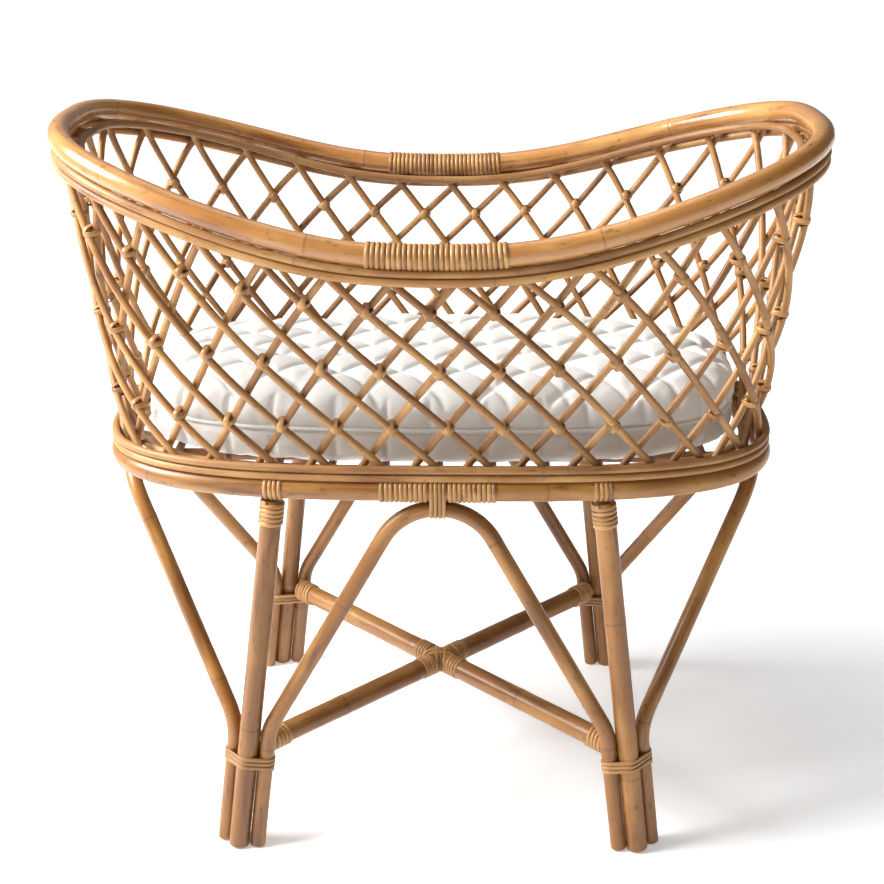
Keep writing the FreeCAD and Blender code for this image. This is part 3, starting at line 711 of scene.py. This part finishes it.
# %% Rim and ring bindings
STRIP_WIDTH = 0.0053
STRIP_THICK = 0.0020
RIM_HALF, RIM_TURNS = 0.074, 27
RING_FROM, RING_TO, RING_TURNS = 0.0115, 0.067, 10
RIM_PITCH = 2 * RIM_HALF / RIM_TURNS
RING_PITCH = 0.0556 / 10.2
RIM_FIRST_TURN, RING_FIRST_TURN = 0.0102, 0.0058
for word, middle in (("front", 0.0), ("rear", 0.5)):
    half = RIM_HALF / RIM_WALK
    path = rim_line(np.linspace(middle - half * 1.1, middle + half * 1.1, 200))
    batch = Batch()
    turns = [RIM_FIRST_TURN + k * RIM_PITCH for k in range(RIM_TURNS)]
    loops(batch, along_line(path), circle_outline(POLE + 0.0002), turns, STRIP_WIDTH, STRIP_THICK)
    batch.build("rim_binding_" + word + "_wound", STRIP_FINISH, "cane_strip", "rim_binding_" + word)
    batch = Batch()
    for side in (-1, 1):
        inner, outer = RING_FROM / RING_WALK, RING_TO / RING_WALK
        path = ring_line(middle + side * np.linspace(inner * 0.7, outer * 1.06, 120))
        turns = [RING_FIRST_TURN + k * RING_PITCH for k in range(RING_TURNS)]
        loops(batch, along_line(path), circle_outline(POLE + 0.0002), turns, STRIP_WIDTH, STRIP_THICK)
    batch.build("ring_binding_" + word + "_wound", STRIP_FINISH, "cane_strip", "ring_binding_" + word)


# %% Leg ties
def ring_share(x):
    """Share at which the front of the ring reaches x."""
    shares = np.linspace(0, 0.24, 2000)
    return float(np.interp(x, ring_line(shares)[:, 0], shares))


TIE_HALF, TIE_PITCH = 0.0135, 0.0053
ties, wraps = Batch(), Batch()
at = ring_share(LEG_HEAD[0])
for middle in (-at, at, 0.5 - at, 0.5 + at):
    half = TIE_HALF / RING_WALK
    path = ring_line(np.linspace(middle - half, middle + half, 40))
    loops(ties, along_line(path), circle_outline(POLE + 0.0002),
          [TIE_HALF + k * TIE_PITCH for k in (-1.5, -0.5, 0.5, 1.5)], 0.0051, STRIP_THICK)
for sy in (-1, 1):
    for sx in (-1, 1):
        ends = [beside_leg(sx, sy, z) for z in (LEG_TOP - 0.036, LEG_TOP - 0.002)]
        path = ends[0] + (ends[1] - ends[0]) * np.linspace(0, 1, 12)[:, None]
        winding(wraps, along_line(path), circle_outline(LEG + 0.0003), 5.2, STRIP_WIDTH,
                STRIP_THICK, pitch=0.0054, start=0.006)
ties.build("leg_ties_wound", STRIP_FINISH, "cane_strip", "leg_ties")
wraps.build("leg_wraps_wound", STRIP_FINISH, "cane_strip", "leg_wraps")

# %% Arch ties
UP = np.array([0, 0, 1.0])
batch = Batch()
for name, sx, sy in (("front", 0, -1), ("rear", 0, 1), ("left", -1, 0), ("right", 1, 0)):
    path = ARCHES[name]
    top = path[path[:, 2].argmax()]
    ring = np.array([sx * RING_LENGTH, sy * RING_WIDTH, RING_HEIGHT])
    out = np.array([sx, sy, 0.0])
    along = np.cross(out, UP)
    across = float(np.dot(top - ring, out))
    outline = belt_outline(((0, 0, POLE + 0.0003), (across, top[2] - RING_HEIGHT, ARCH + 0.0006)))
    place = along_axis(ring, out, UP, along)
    loops(batch, place, outline, [k * 0.0047 for k in (-1.5, -0.5, 0.5, 1.5)], 0.0045, STRIP_THICK)
batch.build("arch_ties_wound", STRIP_FINISH, "cane_strip", "arch_ties")

# %% Foot bindings
batch = Batch()
BINDING_LOW, BINDING_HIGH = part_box("foot_bindings")[0].z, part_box("foot_bindings")[1].z
for sy in (-1, 1):
    for sx in (-1, 1):
        low = beside_leg(sx, sy, (BINDING_LOW + BINDING_HIGH) / 2 - 0.0085)
        axis = unit(beside_leg(sx, sy, RING_HEIGHT) - low)
        side = unit(np.array([1.0, 0, 0]) - axis * axis[0])
        front = np.cross(axis, side)
        circles = [(0, 0, LEG + 0.0003)]
        for outward, inward in ((-BESIDE, 0), (END_OUT, END_IN)):
            gap = beside_leg(sx, sy, low[2], outward, inward) - low
            circles.append((float(gap @ side), float(gap @ front), ARCH + 0.0003))
        place = along_axis(low, side, front, axis)
        winding(batch, place, belt_outline(circles), 3.3, 0.0050, 0.0017, pitch=0.0052)
batch.build("foot_bindings_wound", STRIP_FINISH, "cane_strip", "foot_bindings")

# %% Stretcher wraps and the lashing at the crossing
wraps, lashing = Batch(), Batch()
middle = np.array([0, 0, CROSS_HEIGHT])
for name in ("rising", "falling"):
    for sign in (-1, 1):
        way = cross_way[name] * sign
        path = middle + way * np.linspace(0, CROSS_HALF, 60)[:, None]
        winding(wraps, along_line(path), circle_outline(CROSS + 0.0003), 5.0, 0.0052, STRIP_THICK,
                pitch=0.0054, start=CROSS_HALF - 0.029)
        winding(lashing, along_line(path), circle_outline(CROSS + 0.0003), 4.0, 0.0050, 0.0014,
                pitch=0.0051, start=0.0150)
for out in (np.array([1.0, 0, 0]), np.array([0, 1.0, 0])):
    along = np.cross(out, UP)
    for offset in (-0.0052, 0.0, 0.0052):
        half = CROSS * 1.4142 + abs(offset) + 0.0006
        angle = np.linspace(0, 2 * math.pi, 40, endpoint=False)
        outline = np.stack([np.cos(angle) * half, np.sin(angle) * (CROSS + 0.0008)], 1)
        normals = unit(np.stack([np.cos(angle) / half, np.sin(angle) / CROSS], 1))
        place = along_axis(middle, out, UP, along)
        loops(lashing, place, (outline, normals), [offset], 0.0050, 0.0016)
wraps.build("cross_wraps_wound", STRIP_FINISH, "cane_strip", "cross_wraps")
lashing.build("cross_lashing_wound", STRIP_FINISH, "cane_strip", "cross_lashing")

# %% [markdown]
# ## The bed
# The mattress lies on brown rattan slats that run across the ring, over two long bearers.

# %% Slats and bearers
SLAT_LOW, SLAT_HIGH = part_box("bed_slats")
BEARER_LOW, BEARER_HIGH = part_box("bed_bearers")
slat_radius = (SLAT_HIGH.z - SLAT_LOW.z) / 2
bearer_radius = (BEARER_HIGH.z - BEARER_LOW.z) / 2
SLAT_PITCH = 0.062
SLAT_INSET = POLE + 0.0016
batch = Batch()
for number in range(-5, 6):
    x = number * SLAT_PITCH
    part = ((abs(x) + slat_radius) / (RING_LENGTH - SLAT_INSET)) ** RING_SQUARE
    half = (RING_WIDTH - SLAT_INSET) * (1 - part) ** (1 / RING_SQUARE)
    path = np.stack([np.full(40, x), np.linspace(-half, half, 40),
                     np.full(40, SLAT_LOW.z + slat_radius)], 1)
    pole(batch, path, slat_radius, step=0.01, sides=12, scars=scars_along(2 * half, 0.2))
batch.build("bed_slats_round", BED_FINISH, "bed_pole", "bed_slats")
batch = Batch()
for sy in (-1, 1):
    y = sy * (BEARER_HIGH.y - bearer_radius)
    path = np.stack([np.linspace(BEARER_LOW.x, BEARER_HIGH.x, 60), np.full(60, y),
                     np.full(60, BEARER_LOW.z + bearer_radius)], 1)
    pole(batch, path, bearer_radius, step=0.01, sides=14, scars=scars_along(0.7, 0.2))
batch.build("bed_bearers_round", BED_FINISH, "bed_pole", "bed_bearers")

# %% [markdown]
# ## The mattress
# A quilted cotton pad, crowned on top and bulging at the sides, with a piped seam round its middle.
# A cloth simulation blows up a slightly smaller rounded block, which gives the soft bulge that no
# bevel gives. The quilting is pressed in afterwards, because inflating would wash it out.

# %% The block that is blown up
MAT_LOW, MAT_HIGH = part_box("mattress")
MAT_LENGTH = (MAT_HIGH.x - MAT_LOW.x) / 2
MAT_WIDTH = (MAT_HIGH.y - MAT_LOW.y) / 2
MAT_MIDDLE = (MAT_LOW.z + MAT_HIGH.z) / 2
MAT_THICK = (MAT_HIGH.z - MAT_LOW.z) / 2
SHRINK = 0.004
PAD_SQUARE = 3.0
TOP_ROUND, BOTTOM_ROUND = 0.020, 0.007


def pad_mesh(name):
    """Rounded block: oval top and bottom sheets joined by an upright side."""
    mesh = bpy.data.meshes.new(name)
    around = 220
    edge = squared(np.linspace(0, 2 * math.pi, around, endpoint=False), PAD_SQUARE)
    length, width, thick = MAT_LENGTH - SHRINK, MAT_WIDTH - SHRINK, MAT_THICK - SHRINK / 2

    def half(round_edge, way):
        flat = [(part, round_edge, 0.0, way * thick) for part in np.linspace(0.06, 1.0, 34)]
        bend = [(1.0, round_edge, round_edge * math.sin(turn),
                 way * (thick - round_edge * (1 - math.cos(turn))))
                for turn in np.linspace(0.2, math.pi / 2, 7)]
        return flat + bend
    rows = half(TOP_ROUND, 1) + half(BOTTOM_ROUND, -1)[::-1]
    points = [(0, 0, thick)]
    for part, round_edge, extra, z in rows:
        x = edge[:, 0] * ((length - round_edge) * part + extra)
        y = edge[:, 1] * ((width - round_edge) * part + extra)
        points += [(a, b, z) for a, b in zip(x, y)]
    points.append((0, 0, -thick))
    faces = []
    for k in range(around):
        n = (k + 1) % around
        faces.append([0, 1 + k, 1 + n])
        for i in range(len(rows) - 1):
            a, b = 1 + i * around, 1 + (i + 1) * around
            faces.append([a + k, b + k, b + n, a + n])
        last = 1 + (len(rows) - 1) * around
        faces.append([len(points) - 1, last + n, last + k])
    mesh.from_pydata([(x, y, z + MAT_MIDDLE) for x, y, z in points], [], faces)
    mesh.update()
    return mesh


mattress = bpy.data.objects.new("mattress_quilted", pad_mesh("mattress_quilted"))
bpy.context.scene.collection.objects.link(mattress)
print("block", [round(v, 3) for v in mattress.dimensions])


# %% Blow it up
def only(piece):
    bpy.ops.object.select_all(action="DESELECT")
    piece.select_set(True)
    bpy.context.view_layer.objects.active = piece


def points_of(piece):
    flat = np.zeros(len(piece.data.vertices) * 3)
    piece.data.vertices.foreach_get("co", flat)
    return flat.reshape(-1, 3)


def put_points(piece, points):
    piece.data.vertices.foreach_set("co", points.astype(np.float32).ravel())
    piece.data.update()


GRAIN = 0.0055
PRESSURE = 4.0
LAST_FRAME = 20
only(mattress)
remesh = mattress.modifiers.new("even_mesh", "REMESH")
remesh.mode = "VOXEL"
remesh.voxel_size = GRAIN
bpy.ops.object.modifier_apply(modifier="even_mesh")
before = points_of(mattress)
cloth = mattress.modifiers.new("inflate", "CLOTH")
cloth.settings.use_pressure = True
cloth.settings.uniform_pressure_force = PRESSURE
cloth.settings.effector_weights.gravity = 0.0
cloth.settings.quality = 5
scene = bpy.context.scene
for number in range(1, LAST_FRAME + 1):
    scene.frame_set(number)
bpy.ops.object.modifier_apply(modifier="inflate")
scene.frame_set(1)
after = points_of(mattress)
move = after - before
size = np.linalg.norm(move, axis=1, keepdims=True)
CAP = 0.009
after = before + move * np.minimum(1, CAP / np.maximum(size, 1e-9))
put_points(mattress, after)
print("pad swelled by up to", round(float(size.max()), 4), "kept to", CAP)

# %% [markdown]
# The quilting is a soft lattice of stitched lines that cross the pad on two slants, with puffs of
# filling between them and a few broad hollows where it has settled. Every puff is a height over the
# blown-up pad: two sets of slanted stripes give the stitch lines, and what lies between is raised.

# %% Quilting and settling
def smooth(value, low, high):
    part = np.clip((value - low) / (high - low), 0, 1)
    return part * part * (3 - 2 * part)


subdivide = mattress.modifiers.new("finer", "SUBSURF")
subdivide.levels = subdivide.render_levels = 1
only(mattress)
bpy.ops.object.modifier_apply(modifier="finer")
p = points_of(mattress)
x, y = p[:, 0], p[:, 1]
z = p[:, 2] - MAT_MIDDLE
top = smooth(z, 0.014, 0.034)
QUILT = 0.074
SLANT = 1.15
STITCH_WIDTH, STITCH_DEPTH = 0.0042, 0.0032
PUFF_HEIGHT, SETTLING, CROWN = 0.0062, 0.0024, 0.007
u = (x + SLANT * y) / QUILT + 0.10 * np.sin(y * 21) + 0.25
v = (x - SLANT * y) / QUILT + 0.10 * np.sin(x * 17 + 1)
line_gap = np.minimum(abs(u - np.round(u)), abs(v - np.round(v))) * QUILT
groove = np.exp(-(line_gap / STITCH_WIDTH) ** 2)
puff = np.sqrt(np.clip(np.sin(math.pi * (u % 1)) * np.sin(math.pi * (v % 1)), 0, 1))
broad = (np.sin(x * 9.3 + 0.6) * np.sin(y * 13.1 + 0.9) + 0.6 * np.sin(x * 21 + y * 17 + 2.0)) / 1.6
reach = np.clip((abs(x) / MAT_LENGTH) ** 3.2 + (abs(y) / MAT_WIDTH) ** 3.2, 0, 1)
p[:, 2] += top * (PUFF_HEIGHT * puff - STITCH_DEPTH * groove + SETTLING * broad + CROWN * (1 - reach))
print("stitch lines", QUILT, "m apart, deepest", STITCH_DEPTH)

# %% [markdown]
# Round the side the same filling makes a row of upright puffs over the seam and a softer row under
# it, pinched in where a stitch comes down. They are spaced by the distance walked round the edge, so
# they keep their width at the corners. The seam itself is drawn in all the way round, and the
# underside stays flat where it rests on the slats.

# %% Puffs round the side
SIDE_PUFF = 0.064
SIDE_SWELL, PINCH_DEPTH, SEAM_DEPTH = 0.0052, 0.0030, 0.0030
PINCH_WIDTH, SEAM_WIDTH = 0.004, 0.0050
SEAM = (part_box("mattress_piping")[0].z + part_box("mattress_piping")[1].z) / 2 - MAT_MIDDLE
out = np.stack([x / MAT_LENGTH ** 2, y / MAT_WIDTH ** 2], 1)
out /= np.maximum(np.linalg.norm(out, axis=1, keepdims=True), 1e-9)
edge = squared(np.linspace(-math.pi, math.pi, 4000), PAD_SQUARE)
edge_walk = walked(edge * (MAT_LENGTH, MAT_WIDTH))
edge_angle = np.arctan2(edge[:, 1], edge[:, 0])
round_side = np.interp(np.arctan2(y / MAT_WIDTH, x / MAT_LENGTH), edge_angle, edge_walk)
beat = round_side / SIDE_PUFF + 0.12 * np.sin(round_side * 31)
side_puff = np.sqrt(abs(np.sin(math.pi * beat)))
pinch = np.exp(-((abs(beat - np.round(beat)) * SIDE_PUFF) / PINCH_WIDTH) ** 2)
seam = np.exp(-((z - SEAM) / SEAM_WIDTH) ** 2)
edge_on = smooth(reach, 0.6, 0.9)
above = np.clip((z - SEAM) / (MAT_THICK - SEAM), 0, 1)
below = np.clip((SEAM - z) / (MAT_THICK + SEAM), 0, 1)
belly = np.sin(math.pi * above) + 0.8 * np.sin(math.pi * below) ** 1.5
swell = edge_on * (belly * (SIDE_SWELL * side_puff - PINCH_DEPTH * pinch)
                   - SEAM_DEPTH * seam * (1 + 0.3 * pinch))
p[:, :2] += out * swell[:, None]
floor_z = MAT_LOW.z + 0.0002
p[:, 2] = np.maximum(p[:, 2], floor_z)
put_points(mattress, p)
mattress.data.shade_smooth()
print("mattress from", [round(float(v), 3) for v in p.min(0)], "to", [round(float(v), 3) for v in p.max(0)])


# %% Cotton
def cotton(name, base, shade):
    material = bpy.data.materials.new(name)
    material.use_nodes = True
    nodes, links = material.node_tree.nodes, material.node_tree.links
    shader = nodes["Principled BSDF"]
    place = nodes.new("ShaderNodeTexCoord")
    weave = nodes.new("ShaderNodeTexNoise")
    weave.inputs["Scale"].default_value = 1400.0
    weave.inputs["Detail"].default_value = 2.0
    cloud = nodes.new("ShaderNodeTexNoise")
    cloud.inputs["Scale"].default_value = 9.0
    cloud.inputs["Detail"].default_value = 4.0
    creases = nodes.new("ShaderNodeTexNoise")
    creases.inputs["Scale"].default_value = 38.0
    creases.inputs["Detail"].default_value = 5.0
    creases.inputs["Distortion"].default_value = 0.6
    for texture in (weave, cloud, creases):
        links.new(place.outputs["Object"], texture.inputs["Vector"])
    mix = nodes.new("ShaderNodeMix")
    mix.data_type = "RGBA"
    mix.inputs[6].default_value = (*base, 1)
    mix.inputs[7].default_value = (*shade, 1)
    links.new(cloud.outputs["Fac"], mix.inputs[0])
    links.new(mix.outputs[2], shader.inputs["Base Color"])
    shader.inputs["Roughness"].default_value = 0.85
    shader.inputs["Sheen Weight"].default_value = 0.25
    shader.inputs["Sheen Roughness"].default_value = 0.5
    fine = nodes.new("ShaderNodeBump")
    fine.inputs["Strength"].default_value = 0.25
    fine.inputs["Distance"].default_value = 0.0004
    links.new(weave.outputs["Fac"], fine.inputs["Height"])
    folds = nodes.new("ShaderNodeBump")
    folds.inputs["Strength"].default_value = 0.35
    folds.inputs["Distance"].default_value = 0.003
    links.new(creases.outputs["Fac"], folds.inputs["Height"])
    links.new(fine.outputs["Normal"], folds.inputs["Normal"])
    links.new(folds.outputs["Normal"], shader.inputs["Normal"])
    return material


COTTON = cotton("white_quilted_cotton", tone_of(228, 227, 222), tone_of(214, 212, 207))
mattress.data.materials.append(COTTON)
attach(mattress, "mattress")
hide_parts("mattress")

# %% Piping round the seam
PIPING = (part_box("mattress_piping")[1].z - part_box("mattress_piping")[0].z) / 2
ray_angle = np.linspace(0, 2 * math.pi, 420, endpoint=False)
band = p[abs(p[:, 2] - MAT_MIDDLE - SEAM) < 0.005]
band_angle = np.arctan2(band[:, 1] / MAT_WIDTH, band[:, 0] / MAT_LENGTH)
far_out = np.hypot(band[:, 0], band[:, 1])
order = np.argsort(band_angle)
reach = np.interp(ray_angle, band_angle[order] % (2 * math.pi), far_out[order], period=2 * math.pi)
for _ in range(6):
    reach = (np.roll(reach, 1) + reach + np.roll(reach, -1)) / 3
way = unit(np.stack([np.cos(ray_angle) * MAT_LENGTH, np.sin(ray_angle) * MAT_WIDTH], 1))
ring_path = np.concatenate([way * (reach + 0.0006)[:, None], np.full((420, 1), MAT_MIDDLE + SEAM)], 1)
batch = Batch()
pole(batch, np.concatenate([ring_path, ring_path[:1]]), PIPING, step=0.004, sides=10, closed=True,
     wave=0.03)
batch.build("mattress_piping_cord", COTTON, "mattress_cotton", "mattress_piping", body="mattress")

# %% [markdown]
# ## Studio
# A pale floor and soft light from the upper left. The key softbox stands high and well to the left,
# hardly in front, so tops and left sides are bright and the fronts and right ends fall into shade.
# The surround is brighter on the left than on the right for the same reason. The floor glows a
# little, more so further away, which stands for a lit paper backdrop. The camera stands in front,
# above the rim, and looks down a little.

# %% Floor
floor_mesh = bpy.data.meshes.new("studio_floor")
FAR = 40.0
corners = [(-FAR, -FAR, 0), (FAR, -FAR, 0), (FAR, FAR, 0), (-FAR, FAR, 0)]
floor_mesh.from_pydata(corners, [], [[0, 1, 2, 3]])
floor = bpy.data.objects.new("studio_floor", floor_mesh)
bpy.context.scene.collection.objects.link(floor)
white = bpy.data.materials.new("studio_white")
white.use_nodes = True
nodes, links = white.node_tree.nodes, white.node_tree.links
shader = nodes["Principled BSDF"]
shader.inputs["Base Color"].default_value = (0.93, 0.93, 0.93, 1)
shader.inputs["Roughness"].default_value = 0.9
shader.inputs["Emission Color"].default_value = (1, 1, 1, 1)
away = nodes.new("ShaderNodeVectorMath")
away.operation = "LENGTH"
links.new(nodes.new("ShaderNodeNewGeometry").outputs["Position"], away.inputs[0])
brighter = nodes.new("ShaderNodeMapRange")
for socket, value in (("From Min", 0.5), ("From Max", 1.6), ("To Min", 0.34), ("To Max", 0.80)):
    brighter.inputs[socket].default_value = value
links.new(away.outputs["Value"], brighter.inputs["Value"])
links.new(brighter.outputs["Result"], shader.inputs["Emission Strength"])
floor_mesh.materials.append(white)
print("floor", 2 * FAR, "m across")

# %% Surround and softboxes
world = bpy.data.worlds.new("studio_surround")
world.use_nodes = True
nodes, links = world.node_tree.nodes, world.node_tree.links
nodes["Background"].inputs["Color"].default_value = (1, 1, 1, 1)
facing = nodes.new("ShaderNodeSeparateXYZ")
links.new(nodes.new("ShaderNodeTexCoord").outputs["Generated"], facing.inputs["Vector"])
from_left = nodes.new("ShaderNodeMapRange")
for socket, value in (("From Min", -0.8), ("From Max", 0.8), ("To Min", 0.50), ("To Max", 0.05)):
    from_left.inputs[socket].default_value = value
links.new(facing.outputs["X"], from_left.inputs["Value"])
links.new(from_left.outputs["Result"], nodes["Background"].inputs["Strength"])
bpy.context.scene.world = world
bpy.context.scene.view_settings.view_transform = "Standard"


def soft_light(name, at, aim, size, power):
    light = bpy.data.lights.new(name, "AREA")
    light.shape = "SQUARE"
    light.size = size
    light.energy = power
    lamp = bpy.data.objects.new(name, light)
    lamp.location = at
    lamp.rotation_euler = (Vector(aim) - Vector(at)).to_track_quat("-Z", "Y").to_euler()
    bpy.context.scene.collection.objects.link(lamp)


soft_light("key_softbox", (-2.1, -0.35, 2.0), (0, 0, 0.5), 1.3, 165)
soft_light("fill_softbox", (1.9, -1.6, 1.5), (0, 0, 0.5), 1.6, 1)
soft_light("top_softbox", (-0.2, 0.6, 2.6), (0, 0, 0.6), 1.4, 8)

# %% Camera
lens = bpy.data.cameras.new("studio_camera")
lens.sensor_width = 36.0
lens.lens = 62.5952
camera = bpy.data.objects.new("studio_camera", lens)
LOOK_DOWN, TURN_LEFT = 0.368445, 0.017503
camera.location = (0.03255, -1.79007, 1.12869)
camera.rotation_euler = (math.pi / 2 - LOOK_DOWN, 0, TURN_LEFT)
bpy.context.scene.collection.objects.link(camera)
bpy.context.scene.camera = camera
